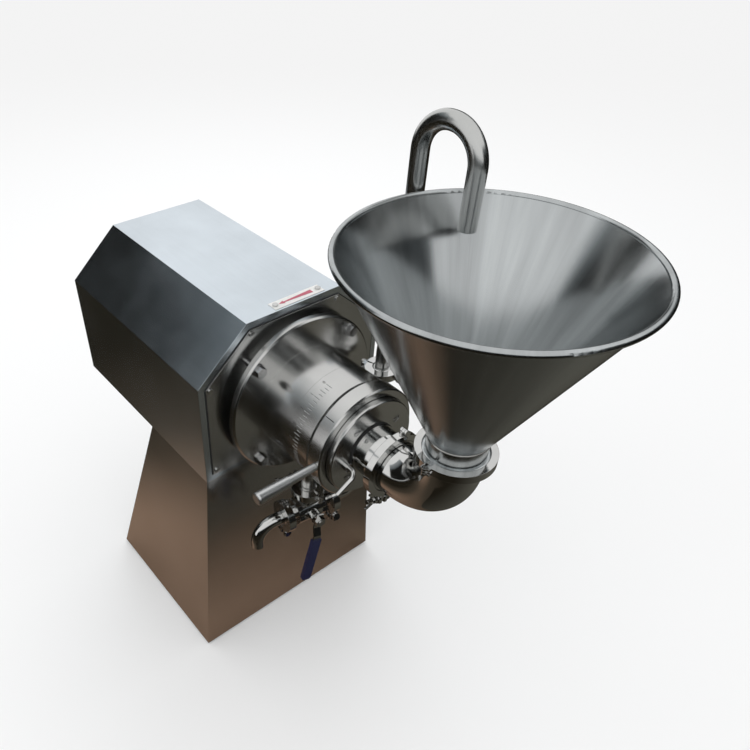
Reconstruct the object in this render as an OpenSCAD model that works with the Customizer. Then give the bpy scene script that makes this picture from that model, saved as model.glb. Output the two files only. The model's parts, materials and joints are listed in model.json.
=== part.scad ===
// Horizontal colloid mill: sheet cabinet with motor, milling head, feed hopper and return line.
// Millimetres, +Z up, +X along the mill axis out of the front, origin on the floor under the pedestal.

/* [Cabinet] */
// Width of the upper housing
cab_w = 400; // [390:2:440]
// Height of the flat top above the floor
cab_h = 788; // [720:1:860]
// Width of the flat top between the shoulders
top_w = 200; // [190:2:240]
// Drop from the flat top to the foot of a shoulder
shoulder_h = 88; // [70:1:100]
// Depth of the upper housing from front to rear
hood_d = 452; // [440:2:520]
// Width of the pedestal at the floor
base_w = 476; // [440:2:560]
// Depth of the pedestal at the floor
base_d = 380; // [350:2:460]
// Depth of the pedestal where it meets the housing
neck_d = 197; // [170:1:250]
// Thickness of the cabinet sheet
sheet_t = 2; // [1.5:0.1:2.5]
// Thickness of the front plate and the rear panel
panel_t = 2; // [1.5:0.1:3]
// Height of the rubber strips under the base
pad_h = 4; // [3:0.5:10]
// Width of the folded edges around the housing's openings
lip_w = 24; // [20:1:26]
// Step from the housing's outline in to the front plate's edge
plate_inset = 14; // [10:1:15]

/* [Drive] */
// Drop from the flat top to the mill axis
axis_drop = 175; // [168:1:180]
// Height of the motor axis above its feet
motor_h = 112; // [112:1:116]
// Thickness of the welded motor bracket's base
bracket_t = 10; // [8:1:12]
// Thickness of the bracket's upright
bulk_t = 12; // [10:1:14]
// Radius of the motor housing
motor_r = 105; // [103:0.5:106]
// Length of the motor housing between its end shields
motor_l = 190; // [180:1:200]
// Radius of the shaft through the seal
shaft_r = 16; // [15:0.1:16.5]

/* [Milling head] */
// Diameter of the seat flange
flange_d = 310; // [306:1:320]
// Thickness of the seat flange
flange_t = 28; // [22:1:32]
// Thickness of the flange's rim
flange_rim_t = 14; // [12:1:18]
// Diameter of the hub behind the rim
flange_hub_d = 256; // [252:1:262]
// Diameter of the flange bolt circle
bolt_circle_d = 282; // [270:1:282]
// Diameter of the barrel at the scale ring
barrel_d = 200; // [196:1:204]
// Length of the barrel between flange and scale ring
barrel_l = 75; // [73:1:85]
// Width of the scale ring
scale_w = 52; // [48:1:58]
// Diameter of the adjusting ring
ring_d = 206; // [206:1:212]
// Width of the adjusting ring
ring_w = 34; // [32:1:38]
// Diameter of the front cover
cover_d = 177; // [174:1:178]
// How far the cover stands out of the adjusting ring
cover_proud = 13; // [8:1:18]
// Length of the adjusting handle beyond the ring
handle_l = 117; // [90:1:140]
// Gap between the rotor's cone and the stator's cone
mill_gap = 0.8; // [0.6:0.05:1.2]

/* [Feed] */
// Outer diameter of the feed tube
feed_d = 88.9; // [86:0.1:90]
// Length of the feed spool up to its clamp
spool_l = 50.6; // [48:0.1:60]
// Distance from the elbow's corner to each of its joints
elbow_l = 110; // [108:1:120]
// Diameter of the hopper at its rim
hopper_d = 372; // [340:1:380]
// Height of the hopper's cone from its neck to its rim
hopper_h = 268; // [246:1:272]
// Height of the hopper's neck above its joint
neck_h = 31; // [26:1:36]
// Wall thickness of the hopper and the feed tube
wall = 2; // [1.5:0.1:2.5]
// Radius of the rolled rim
rim_r = 4.5; // [3.5:0.1:5]

/* [Outlet and return line] */
// Outer diameter of the return tube
tube_d = 25.4; // [24:0.1:26]
// Wall thickness of the return tube
tube_wall = 1.6; // [1.2:0.1:2]
// Distance of the valve's centre from the cabinet's front
valve_x = 95; // [94:1:100]
// Sideways offset of the valve's centre
valve_y = -42; // [-44:1:-40]
// Drop from the mill axis to the valve's centre
valve_drop = 209; // [203:1:223]
// Distance from the valve's centre to each port's joint
port_l = 49; // [48.5:0.1:52]
// Length of the lever from the stem to its tip
lever_l = 150; // [120:1:170]
// Lean of the lever from plumb
lever_lean = 12; // [0:1:20]
// Height of the joint in the riser above the mill axis
riser_rise = 31; // [27:1:37]
// Height of the return bend's centre line above the hopper's rim
bend_rise = 100; // [88:1:128]
// Drop from the hopper's rim to the return pipe's open end
spill_drop = 24; // [2:1:32]

/* [Hidden] */
$fn = 64;
// Fits
run_fit = 0.05;
slip_fit = 0.3;
seat_fit = 0.02;
over = 1;
// Cabinet levels
axis_z = cab_h - axis_drop;
front_x = base_d / 2;
rear_x = front_x - hood_d;
floor_z = axis_z - motor_h - bracket_t - sheet_t;
shoulder_z = cab_h - shoulder_h;
shoulder_a = atan2(shoulder_h, (cab_w - top_w) / 2);
plate_low_z = floor_z + plate_inset;
rear_inset = 6;
screw_inset = 8;
sill_h = 14;
bracket_top_z = floor_z + sheet_t + bracket_t;
bulk_x = front_x - sheet_t - bulk_t;
// Motor stations along the axis
shield_l = 36;
housing_x = bulk_x - shield_l - motor_l;
rear_shield_t = 14;
cowl_l = 70;
shield_neck_l = 12;
core_l = 100;
core_x = housing_x + 60;
core_r = motor_r - 10;
gap_r = 58;
front_bearing_x = bulk_x - 26;
rear_bearing_x = housing_x - 8;
// Bearings as bore, inner ring, outer ring's bore, outside, width
front_bearing = [17.5, 22.4, 31.4, 36, 17];
rear_bearing = [12.5, 16.2, 22.6, 26, 15];
// Milling head stations along the axis
seat_x = front_x + panel_t;
flange_x = seat_x + flange_t;
scale_x = flange_x + barrel_l;
ring_x = scale_x + scale_w + 0.8;
ring_end_x = ring_x + ring_w;
nose_x = scale_x + scale_w + 13;
ring_lip = 14;
ring_lip_x = ring_end_x - ring_lip;
cover_x = ring_end_x + cover_proud;
feed_joint_x = cover_x + spool_l;
hopper_x = feed_joint_x + elbow_l;
hopper_joint_z = axis_z + elbow_l;
weld_z = hopper_joint_z + neck_h;
rim_z = weld_z + hopper_h;
chamber_x = flange_x + 10;
barrel_r = barrel_d / 2;
nose_r = barrel_r - 3;
chamber_r = nose_r - 12;
cover_r = cover_d / 2;
ring_r = ring_d / 2;
spigot_r = 120;
// Rotor, stator and seal
rotor_x = flange_x + 63;
rotor_disc = 8;
stator_front_x = nose_x - 8;
rotor_big_r = 72;
rotor_small_r = 50;
rotor_end_x = stator_front_x - 2;
rotor_bore_r = shaft_r - 2;
seal_pocket_r = 30;
seal_x = chamber_x - 14;
thread_r = 9;
nut_h = 16;
// Bolts
bolt_r = 6;
hex_r = 10.4;
hex_h = 8;
washer_r = 12;
washer_t = 2.5;
small_screw_r = 2.5;
small_head_r = 5;
small_head_h = 2.5;
// Adjusting handle and lock
handle_x = ring_end_x - 9;
lock_r = 58;
lock_a = 186;
cover_screw_r = 63;
cover_screws_a = [35, 125, 215, 305];
screw_r = 3;
screw_head = [6.5, 4.5];
screw_sink = 5;
screw_reach = 12;
screw_slot = [2, 1.5];
// Feed tube joints
feed_r = feed_d / 2;
feed_ferrule_r = feed_r + 8.5;
feed_clamp_hw = 6.5;
// Small tube joints
tube_r = tube_d / 2;
tube_ferrule_r = tube_r + 12.55;
tube_clamp_hw = 7;
// Common joint sizes
gasket_t = 2;
ferrule_rim = 2;
ferrule_slope = tan(20);
clamp_wall = 6.5;
clamp_fit = 0.15;
clamp_bolt_r = 4;
ear_out = 16;
ear_t = 6;
ear_gap = 3;
ear_hw = 6;
nut_seat = ear_gap + ear_t;
hinge_r = 4.5;
pin_r = 2;
clamp_lip = 4.5;
ear_root = 4;
hinge_web = 3;
clamp_bolt_l = 36;
clamp_head_r = 7;
clamp_head_h = 4;
wing_base = [8, 5];
wing_hub = [6.5, 13];
wing_t = 3;
wing_size = [17, 26.5];
// Angles about each joint's axis at which its clamp's bolt sits
feed_clamp_a = -15;
hopper_clamp_a = 90;
outlet_clamp_a = 180;
discharge_clamp_a = 90;
return_clamp_a = 60;
riser_clamp_a = 20;
// Valve directions
valve_a = 82;
valve_z = axis_z - valve_drop;
valve = [front_x + valve_x, valve_y, valve_z];
run = [cos(valve_a), sin(valve_a), 0];
ball_r = 17;
body_r = 25;
bonnet_l = 36;
stem_r = 6;
strap_t = 3;
strap_w = 16;
sleeve_l = 108;
sleeve_w = 20;
sleeve_t = 8;
joggle = 8;
// Discharge tail
bend_r = 38;
discharge_l = 108;
discharge_drop = 49;
// Return line: the riser leans from beside the head to outside the hopper's rim
riser_joint_z = axis_z + riser_rise;
bend_top_z = rim_z + bend_rise;
spill_z = rim_z - spill_drop;
return_r = 30;
return_skew = atan2(44, 117);
loop_r = 47;
loop_w = 96;
drop_out = 167;
drop_x = front_x + drop_out;
drop_y = 72;
drift = 100;
drift_a = atan2(-3, 4);
lean = atan2(44, 117);
lean_start = 34;
riser_x = drop_x - drift * cos(drift_a);
riser_y = drop_y - drift * sin(drift_a);
// Riser's foot in the valve's own frame, across and along the run
riser_from_valve = [riser_x - valve[0], riser_y - valve[1]];
riser_run = [riser_from_valve[0] * run[1] - riser_from_valve[1] * run[0],
    riser_from_valve[0] * run[0] + riser_from_valve[1] * run[1]];

// Directions and placing

// Local Z points along X from the given point on the mill axis
module along_x(x) {
    translate([x, 0, axis_z]) rotate([0, 90, 0]) children();
}

module along_run(p) {
    translate(p) rotate([0, 0, valve_a - 90]) rotate([-90, 0, 0]) children();
}

// Point at radius r and angle a about the mill axis, angle from +Y toward +Z
function polar(r, a) = [r * cos(a), axis_z + r * sin(a)];

module rod_x(x, l, r) {
    along_x(x) cylinder(h = l, r = r);
}

module tube_x(x, l, ro, ri) {
    along_x(x) difference() {
        cylinder(h = l, r = ro);
        translate([0, 0, -over]) cylinder(h = l + 2 * over, r = ri);
    }
}

// Slab of a front view outline between two stations along X
module slab(x, l) {
    translate([x, 0, 0]) rotate([90, 0, 90]) linear_extrude(l) children();
}

// Round bar along local Z from the origin, each move a straight length, a turn and the side the turn goes to
module bar(moves, big, r, i = 0) {
    if (i < len(moves)) {
        straight = moves[i][0];
        turn = moves[i][1];
        side = moves[i][2];
        if (straight > 0) cylinder(h = straight, r = r);
        translate([0, 0, straight]) rotate([0, 0, side]) {
            if (turn > 0) translate([big, 0, 0]) rotate([90, 0, 180])
                rotate_extrude(angle = turn) translate([big, 0]) circle(r = r);
            translate([big, 0, 0]) rotate([0, turn, 0]) translate([-big, 0, 0]) rotate([0, 0, -side])
                bar(moves, big, r, i + 1);
        }
    }
}

// Bore of a pipe with the same moves, opened a little past both ends
module bore(moves, big, r) {
    n = len(moves) - 1;
    longer = [for (i = [0:n]) [moves[i][0] + (i == 0 ? over : 0) + (i == n ? over : 0), moves[i][1],
        moves[i][2]]];
    translate([0, 0, -over]) bar(longer, big, r);
}

// Clamped joints

function ferrule_depth(rf, rt) = ferrule_rim + (rf - rt - 2) * ferrule_slope;

// Solid ferrule with its face at local Z 0, tube side below
module ferrule(rf, rt) {
    d = ferrule_depth(rf, rt);
    rotate_extrude() polygon([[0, 0], [rf, 0], [rf, -ferrule_rim], [rt + 2, -d], [rt, -d], [0, -d]]);
}

module gasket(rf, ri) {
    difference() {
        cylinder(h = gasket_t, r = rf - 1.5, center = true);
        cylinder(h = gasket_t + 2 * over, r = ri, center = true);
    }
}

function groove(rf, r) = gasket_t / 2 + ferrule_rim + (rf - r) * ferrule_slope + clamp_fit;

// Grooved half band, split on local Y 0
module clamp_band(rf, rt, hw) {
    lip = rt + clamp_lip;
    out = rf + clamp_wall;
    deep = rf + clamp_fit;
    rotate([0, 0, 4]) rotate_extrude(angle = 172) polygon([[lip, -hw], [out, -hw], [out, hw], [lip, hw],
        [lip, groove(rf, lip)], [deep, groove(rf, deep)], [deep, -groove(rf, deep)],
        [lip, -groove(rf, lip)]]);
}

// Hinge knuckles on -X: the fork has the outer thirds of the width, the tongue the middle
module knuckles(out, hw, fork) {
    third = 2 * hw / 3;
    levels = fork ? [-hw, third / 2 + slip_fit] : [-third / 2];
    high = fork ? third - slip_fit : third;
    for (z = levels) translate([-out - hinge_r, 0, z]) difference() {
        union() {
            cylinder(h = high, r = hinge_r);
            cube([hinge_r + hinge_web, hinge_r + ear_root, high]);
        }
        translate([0, 0, -over]) cylinder(h = high + 2 * over, r = pin_r + run_fit);
    }
}

// One half with its bolt ear on +X
module clamp_half(rf, rt, hw, fork) {
    out = rf + clamp_wall;
    clamp_band(rf, rt, hw);
    knuckles(out, hw, fork);
    difference() {
        translate([out - ear_root, ear_gap, -ear_hw])
            cube([ear_out + ear_root, ear_t, 2 * ear_hw]);
        translate([out + ear_out / 2, 0, 0]) rotate([-90, 0, 0])
            cylinder(h = 2 * nut_seat, r = clamp_bolt_r + slip_fit);
    }
}

module clamp_halves(rf, rt, hw) {
    clamp_half(rf, rt, hw, false);
    mirror([0, 1, 0]) clamp_half(rf, rt, hw, true);
}

module clamp_bolt(rf, hw) {
    out = rf + clamp_wall;
    translate([out + ear_out / 2, 0, 0]) rotate([-90, 0, 0]) {
        translate([0, 0, -nut_seat]) cylinder(h = nut_seat + clamp_bolt_l, r = clamp_bolt_r);
        translate([0, 0, -nut_seat - clamp_head_h]) cylinder(h = clamp_head_h, r = clamp_head_r);
    }
    translate([-out - hinge_r, 0, -hw]) cylinder(h = 2 * hw, r = pin_r);
}

// Outline of one wing as shares of its reach and its height
wing_shares = [[0.26, 0.15], [0.53, 0.45], [0.91, 0.79], [1, 0.98], [0.76, 1], [0.53, 0.75], [0.29, 0.45]];

module wing_nut(rf) {
    wing = [for (p = wing_shares) [p[0] * wing_size[0], p[1] * wing_size[1]]];
    translate([rf + clamp_wall + ear_out / 2, nut_seat + run_fit, 0]) rotate([-90, 0, 0]) difference() {
        union() {
            cylinder(h = wing_base[1], r = wing_base[0]);
            cylinder(h = wing_hub[1], r = wing_hub[0]);
            for (a = [0, 180]) rotate([0, 0, a]) rotate([90, 0, 0])
                translate([0, 0, -wing_t / 2]) linear_extrude(wing_t) polygon(wing);
        }
        translate([0, 0, -over]) cylinder(h = wing_hub[1] + 2 * over, r = clamp_bolt_r + run_fit);
    }
}

// Joint frames: local Z along the tube, local X toward the clamp's bolt

module at_feed_joint() {
    along_x(feed_joint_x) rotate([0, 0, feed_clamp_a]) rotate([180, 0, 0]) children();
}

module at_hopper_joint() {
    translate([hopper_x, 0, hopper_joint_z]) rotate([0, 0, hopper_clamp_a]) children();
}

module at_outlet_joint() {
    translate(valve + [0, 0, port_l]) rotate([0, 0, outlet_clamp_a]) children();
}

module at_discharge_joint() {
    along_run(valve - port_l * run) rotate([0, 0, discharge_clamp_a]) children();
}

module at_return_joint() {
    along_run(valve + port_l * run) rotate([0, 0, return_clamp_a]) children();
}

module at_riser_joint() {
    translate([riser_x, riser_y, riser_joint_z]) rotate([0, 0, riser_clamp_a]) children();
}

// Cabinet outline

function house(t, low) = let (
    side = cab_w / 2 - t,
    knee = shoulder_z - t * tan((90 - shoulder_a) / 2),
    crown = top_w / 2 - t * tan(shoulder_a / 2),
    high = cab_h - t)
    [[-side, low], [-side, knee], [-crown, high], [crown, high], [side, knee], [side, low]];

function half_width(z) = cab_w / 2 + (base_w - cab_w) / 2 * (floor_z - z) / (floor_z - pad_h);
function back_edge(z) = front_x - neck_d - (base_d - neck_d) * (floor_z - z) / (floor_z - pad_h);

front_screws = house(plate_inset + screw_inset, plate_low_z + screw_inset);
rear_screws = house(rear_inset + screw_inset, floor_z + rear_inset + screw_inset);
arrow_x = front_x - 15;
arrow_y = 15;
arrow_l = 105;
arrow_w = 22;
arrow_t = 1;
rivets = [for (s = [-1, 1]) [arrow_x, arrow_y + s * (arrow_l / 2 - 7)]];

module screw_holes_x(points, x, l) {
    for (p = points) translate([x, p[0], p[1]]) rotate([0, 90, 0])
        cylinder(h = l, r = small_screw_r + run_fit);
}

module small_screw(l) {
    cylinder(h = small_head_h, r = small_head_r);
    translate([0, 0, -l]) cylinder(h = l, r = small_screw_r);
}

// Cabinet pieces

module hood_shell() {
    hole = [neck_d / 2, cab_w * 0.3];
    color("Gainsboro") difference() {
        slab(rear_x, hood_d) polygon(house(0, floor_z));
        slab(rear_x + sheet_t, hood_d - 2 * sheet_t) polygon(house(sheet_t, floor_z + sheet_t));
        slab(rear_x - over, hood_d + 2 * over) polygon(house(lip_w, floor_z + sill_h));
        rod_x(front_x - sheet_t - over, sheet_t + 2 * over, spigot_r + slip_fit);
        translate([front_x - neck_d * 0.8, -hole[1] / 2, floor_z - over])
            cube([hole[0], hole[1], sheet_t + 2 * over]);
        screw_holes_x(front_screws, front_x - sheet_t - over, sheet_t + 2 * over);
        screw_holes_x(rear_screws, rear_x - over, sheet_t + 2 * over);
        for (p = rivets) translate([p[0], p[1], cab_h - sheet_t - over])
            cylinder(h = sheet_t + 2 * over, r = small_screw_r + run_fit);
    }
}

// Four sided flared shaft of the pedestal, inset by t
module pedestal_core(t, low, high) {
    intersection() {
        slab(back_edge(low) - over, base_d + 4 * over + neck_d)
            polygon([[-half_width(low) + t, low], [half_width(low) - t, low],
            [half_width(high) - t, high], [-half_width(high) + t, high]]);
        translate([0, base_w, 0]) rotate([90, 0, 0]) linear_extrude(2 * base_w)
            polygon([[back_edge(low) + t, low],
            [front_x - t, low], [front_x - t, high], [back_edge(high) + t, high]]);
    }
}

module pedestal_shell() {
    color("Gainsboro") difference() {
        pedestal_core(0, pad_h, floor_z);
        pedestal_core(sheet_t, pad_h - over, floor_z + over);
    }
}

module rear_panel() {
    louvre = [110, 6];
    color("Silver") difference() {
        slab(rear_x - panel_t, panel_t) polygon(house(rear_inset, floor_z + rear_inset));
        for (s = [-1, 1], i = [0:6]) translate([rear_x - panel_t - over, s * 75 - louvre[0] / 2,
            floor_z + 70 + 22 * i])
            cube([panel_t + 2 * over, louvre[0], louvre[1]]);
        screw_holes_x(rear_screws, rear_x - panel_t - over, panel_t + 2 * over);
        translate([rear_x - panel_t - over, gland_y, gland_z]) rotate([0, 90, 0])
            cylinder(h = panel_t + 2 * over, r = gland_r + run_fit);
    }
}

module front_plate() {
    color("Gainsboro") difference() {
        slab(front_x, panel_t) polygon(house(plate_inset, plate_low_z));
        rod_x(front_x - over, panel_t + 2 * over, spigot_r + slip_fit);
        screw_holes_x(front_screws, front_x - over, panel_t + 2 * over);
        at_seat_bolts() translate([0, 0, front_x - over])
            cylinder(h = panel_t + 2 * over, r = bolt_r + slip_fit);
    }
}

module panel_screws() {
    color("Silver") {
        for (p = front_screws) translate([front_x + panel_t, p[0], p[1]]) rotate([0, 90, 0]) small_screw(8);
        for (p = rear_screws) translate([rear_x - panel_t, p[0], p[1]]) rotate([0, -90, 0]) small_screw(8);
        for (p = rivets) translate([p[0], p[1], cab_h + arrow_t]) small_screw(arrow_t + sheet_t);
    }
}

module base_frame() {
    bar = 40;
    bar_t = 6;
    top = pad_h + bar_t;
    hw = half_width(top) - sheet_t - slip_fit;
    back = back_edge(top) + sheet_t + slip_fit;
    front = front_x - sheet_t - slip_fit;
    color("DarkGray") translate([0, 0, pad_h]) difference() {
        translate([back, -hw, 0]) cube([front - back, 2 * hw, bar_t]);
        for (s = [0, 1]) translate([back + bar, -hw + bar + s * (hw - bar / 2), -over])
            cube([front - back - 2 * bar, hw - 1.5 * bar, bar_t + 2 * over]);
    }
}

// Rubber strips under the base frame's side bars and its middle bar
module foot_pads() {
    strip = [base_d - 60, 36, pad_h];
    color("DimGray") for (y = [-1:1])
        translate([-strip[0] / 2, y * (base_w / 2 - 24) - strip[1] / 2, 0]) cube(strip);
}

module motor_bracket() {
    plate_l = shield_l + motor_l + 10;
    plate_w = 290;
    color("SlateGray") difference() {
        union() {
            translate([bulk_x - plate_l, -plate_w / 2, floor_z + sheet_t])
                cube([plate_l + over, plate_w, bracket_t]);
            slab(bulk_x, bulk_t) polygon(house(sheet_t + slip_fit, floor_z + sheet_t));
        }
        rod_x(bulk_x - over, bulk_t + 2 * over, 45);
        at_seat_bolts() translate([0, 0, bulk_x - over])
            cylinder(h = bulk_t + 2 * over, r = bolt_r + run_fit);
        at_motor_feet() translate([0, 0, -bracket_t - over])
            cylinder(h = bracket_t + 2 * over, r = 5 + run_fit);
        screw_holes_x(front_screws, bulk_x - over, bulk_t + 2 * over);
    }
}

module arrow_plate() {
    color("White") difference() {
        translate([arrow_x - arrow_w / 2, arrow_y - arrow_l / 2, cab_h]) cube([arrow_w, arrow_l, arrow_t]);
        for (p = rivets) translate([p[0], p[1], cab_h - over])
            cylinder(h = arrow_t + 2 * over, r = small_screw_r + run_fit);
    }
}

module arrow_mark() {
    tip = -38;
    tail = 32;
    head_l = 11;
    head_w = 4.5;
    neck_w = 1.3;
    color("Red") translate([arrow_x, arrow_y, cab_h + arrow_t]) linear_extrude(0.4)
        polygon([[0, tip], [head_w, tip + head_l], [neck_w, tip + head_l - 1], [head_w, tail],
            [-head_w, tail], [-neck_w, tip + head_l - 1], [-head_w, tip + head_l]]);
}

gland_y = cab_w / 2 - 50;
gland_z = floor_z + 48;
gland_r = 12;
gland_bore = 7;
gland_tail = 16;
gland_hex = [17, 8];
gland_cap = [13, 24];

module cable_gland() {
    color("DimGray") translate([rear_x - panel_t, gland_y, gland_z]) rotate([0, -90, 0]) difference() {
        union() {
            translate([0, 0, -gland_tail]) cylinder(h = gland_tail + over, r = gland_r);
            cylinder(h = gland_hex[1], r = gland_hex[0], $fn = 6);
            cylinder(h = gland_cap[1], r = gland_cap[0]);
        }
        translate([0, 0, -gland_tail - over])
            cylinder(h = gland_tail + gland_cap[1] + 2 * over, r = gland_bore);
    }
}

// Motor

foot_x = [housing_x + 30, housing_x + motor_l - 40];
foot_y = 95;
foot_h = 14;

module at_motor_feet() {
    for (x = foot_x, s = [-1, 1]) translate([x, s * foot_y, bracket_top_z]) children();
}

module motor_housing() {
    foot_w = 44;
    web_t = 14;
    pad = [90, 84, motor_r + 3];
    color("SteelBlue") difference() {
        union() {
            rod_x(housing_x, motor_l, motor_r);
            for (side = [-30, 114], i = [0:8]) along_x(housing_x + 6) rotate([0, 0, side + 12 * i])
                translate([-1.5, motor_r - 3, 0]) cube([3, 9, motor_l - 12]);
            translate([housing_x + 50, -pad[1] / 2, axis_z]) cube([pad[0], pad[1], pad[2]]);
            for (s = [-1, 1]) {
                translate([housing_x + 10, s * foot_y - foot_w / 2, bracket_top_z])
                    cube([motor_l - 30, foot_w, foot_h]);
                translate([housing_x + 10, s * 78 - web_t / 2, bracket_top_z])
                    cube([motor_l - 30, web_t, motor_h - 60]);
            }
        }
        rod_x(housing_x - over, motor_l + 2 * over, core_r);
        at_motor_feet() translate([0, 0, -over]) cylinder(h = foot_h + 2 * over, r = 5 + slip_fit);
    }
}

module stator_core() {
    coil_l = 24;
    color("DarkGoldenrod") {
        tube_x(core_x, core_l, core_r - seat_fit, gap_r + 0.4);
        tube_x(core_x - coil_l, coil_l, core_r - 8, gap_r + 6);
        tube_x(core_x + core_l, coil_l, core_r - 8, gap_r + 6);
    }
}

module motor_front_shield() {
    color("SteelBlue") along_x(bulk_x - shield_l) rotate_extrude() polygon([
        [front_bearing[3] + seat_fit, shield_l - 26], [60, shield_l - 26], [60, 0], [motor_r, 0],
        [motor_r, shield_neck_l], [80, shield_neck_l + 6], [80, shield_l], [shaft_r + 3, shield_l],
        [shaft_r + 3, shield_l - 9], [front_bearing[3] + seat_fit, shield_l - 9]]);
}

module motor_rear_shield() {
    boss = rear_bearing[3] + 12;
    color("SteelBlue") along_x(housing_x - rear_shield_t) rotate_extrude() polygon([
        [shaft_r - 3, 0], [motor_r, 0], [motor_r, rear_shield_t], [boss, rear_shield_t],
        [boss, rear_shield_t + 7],
        [rear_bearing[3] + seat_fit, rear_shield_t + 7], [rear_bearing[3] + seat_fit, 6],
        [shaft_r - 3, 6]]);
}

module motor_rotor() {
    color("Gray") tube_x(core_x, core_l, gap_r, shaft_r + 4 + seat_fit);
}

fan_w = 24;
fan_gap = 8;
fan_x = housing_x - rear_shield_t - fan_gap - fan_w;
fan_hub_r = 24;
fan_disc = [70, 3];
fan_vane = [3, 64];
fan_bore_r = shaft_r - 4;

module cooling_fan() {
    color("DimGray") difference() {
        union() {
            rod_x(fan_x, fan_w, fan_hub_r);
            rod_x(fan_x + fan_w - fan_disc[1], fan_disc[1], fan_disc[0]);
            for (a = [0:45:315]) along_x(fan_x) rotate([0, 0, a])
                translate([-fan_vane[0] / 2, fan_hub_r - 4, 0]) cube([fan_vane[0], fan_vane[1], fan_w]);
        }
        rod_x(fan_x - over, fan_w + 2 * over, fan_bore_r + seat_fit);
    }
}

module fan_cowl() {
    cowl_x = housing_x - cowl_l;
    skin = 2;
    color("SteelBlue") difference() {
        rod_x(cowl_x, cowl_l, motor_r + skin);
        rod_x(cowl_x + skin, cowl_l, motor_r + seat_fit);
        for (r = [30, 48, 66, 84], a = [0:30:330]) along_x(cowl_x - over) rotate([0, 0, a])
            translate([0, r, 0])
            cylinder(h = skin + 2 * over, r = 6);
    }
}

module terminal_box() {
    base_z = axis_z + motor_r + 3;
    box = [82, 78, 42];
    color("SteelBlue") translate([housing_x + 54, -box[1] / 2, base_z]) difference() {
        cube(box);
        translate([4, 4, 4]) cube(box - [8, 8, 8]);
        translate([box[0] / 2, -over, box[2] / 2]) rotate([-90, 0, 0]) cylinder(h = 4 + 2 * over, r = 10);
    }
}

module motor_bolts() {
    color("Silver") at_motor_feet() {
        translate([0, 0, foot_h]) cylinder(h = 6.4, r = 9.2, $fn = 6);
        translate([0, 0, -bracket_t]) cylinder(h = bracket_t + foot_h, r = 5);
    }
}

module main_shaft() {
    steps = [[fan_x - 3, fan_bore_r], [rear_bearing_x, rear_bearing[0] - seat_fit],
        [rear_bearing_x + rear_bearing[4], shaft_r + 4], [front_bearing_x, front_bearing[0] - seat_fit],
        [front_bearing_x + front_bearing[4], shaft_r], [rotor_x, rotor_bore_r - seat_fit],
        [rotor_end_x, thread_r], [rotor_end_x + nut_h - 3, 0]];
    color("Silver") for (i = [0:len(steps) - 2])
        rod_x(steps[i][0], steps[i + 1][0] - steps[i][0], steps[i][1]);
}

module bearing_outer_rings() {
    color("Silver") {
        tube_x(front_bearing_x, front_bearing[4], front_bearing[3], front_bearing[2]);
        tube_x(rear_bearing_x, rear_bearing[4], rear_bearing[3], rear_bearing[2]);
    }
}

module bearing_inner_rings() {
    color("Silver") {
        tube_x(front_bearing_x, front_bearing[4], front_bearing[1], front_bearing[0]);
        tube_x(rear_bearing_x, rear_bearing[4], rear_bearing[1], rear_bearing[0]);
    }
}

module ball_row(x, b) {
    pitch_r = (b[1] + b[2]) / 2;
    for (a = [0:40:320]) along_x(x + b[4] / 2) rotate([0, 0, a]) translate([pitch_r, 0, 0])
        sphere(r = (b[2] - b[1]) / 2 - 2 * run_fit);
}

module bearing_balls() {
    color("LightGray") {
        ball_row(front_bearing_x, front_bearing);
        ball_row(rear_bearing_x, rear_bearing);
    }
}

// Milling head

module at_seat_bolts() {
    for (a = [45:90:315]) translate([0, polar(bolt_circle_d / 2, a)[0], polar(bolt_circle_d / 2, a)[1]])
        rotate([0, 90, 0]) children();
}

module mill_seat() {
    back = sheet_t + panel_t;
    rim_back = back + flange_t - flange_rim_t;
    joint_z = valve_z + port_l + gasket_t / 2;
    color("Silver") difference() {
        union() {
            along_x(seat_x - back) rotate_extrude() polygon([[0, 0], [spigot_r, 0], [spigot_r, back],
                [flange_hub_d / 2, back], [flange_hub_d / 2, rim_back], [flange_d / 2 - 1, rim_back],
                [flange_d / 2, rim_back + 1], [flange_d / 2, back + flange_t - 3],
                [flange_d / 2 - 3, back + flange_t], [barrel_r - 0.5, back + flange_t],
                [barrel_r - 0.5, scale_x - seat_x + back], [nose_r, scale_x - seat_x + back],
                [nose_r, nose_x - seat_x + back], [0, nose_x - seat_x + back]]);
            translate([valve[0], valve[1], joint_z]) cylinder(h = axis_z - joint_z, r = tube_r);
            translate([valve[0], valve[1], joint_z]) mirror([0, 0, 1]) ferrule(tube_ferrule_r, tube_r);
        }
        rod_x(chamber_x, nose_x - chamber_x + over, chamber_r);
        rod_x(seal_x, chamber_x - seal_x + over, seal_pocket_r);
        rod_x(seat_x - back - over, chamber_x, shaft_r + 2.5);
        translate([valve[0], valve[1], joint_z - over])
            cylinder(h = axis_z - joint_z - chamber_r / 2, r = tube_r - tube_wall);
        at_seat_bolts() translate([0, 0, seat_x - over])
            cylinder(h = flange_t + 2 * over, r = bolt_r + slip_fit);
    }
}

module seat_bolts() {
    color("Silver") at_seat_bolts() {
        translate([0, 0, bulk_x]) cylinder(h = flange_x - bulk_x, r = bolt_r);
        translate([0, 0, flange_x]) cylinder(h = washer_t, r = washer_r);
        translate([0, 0, flange_x + washer_t]) cylinder(h = hex_h, r = hex_r, $fn = 6);
    }
}

module scale_ring() {
    color("Gainsboro") difference() {
        tube_x(scale_x, scale_w, barrel_r, nose_r + slip_fit);
        translate(valve) cylinder(h = valve_drop, r = tube_r + slip_fit);
    }
}

module seal_seat() {
    color("DarkSlateGray") tube_x(seal_x, chamber_x - seal_x - 2, seal_pocket_r - seat_fit, shaft_r + 2.5);
}

module seal_ring() {
    color("DimGray") tube_x(chamber_x - 2 + run_fit, 18, seal_pocket_r - 3, shaft_r + seat_fit);
}

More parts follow.
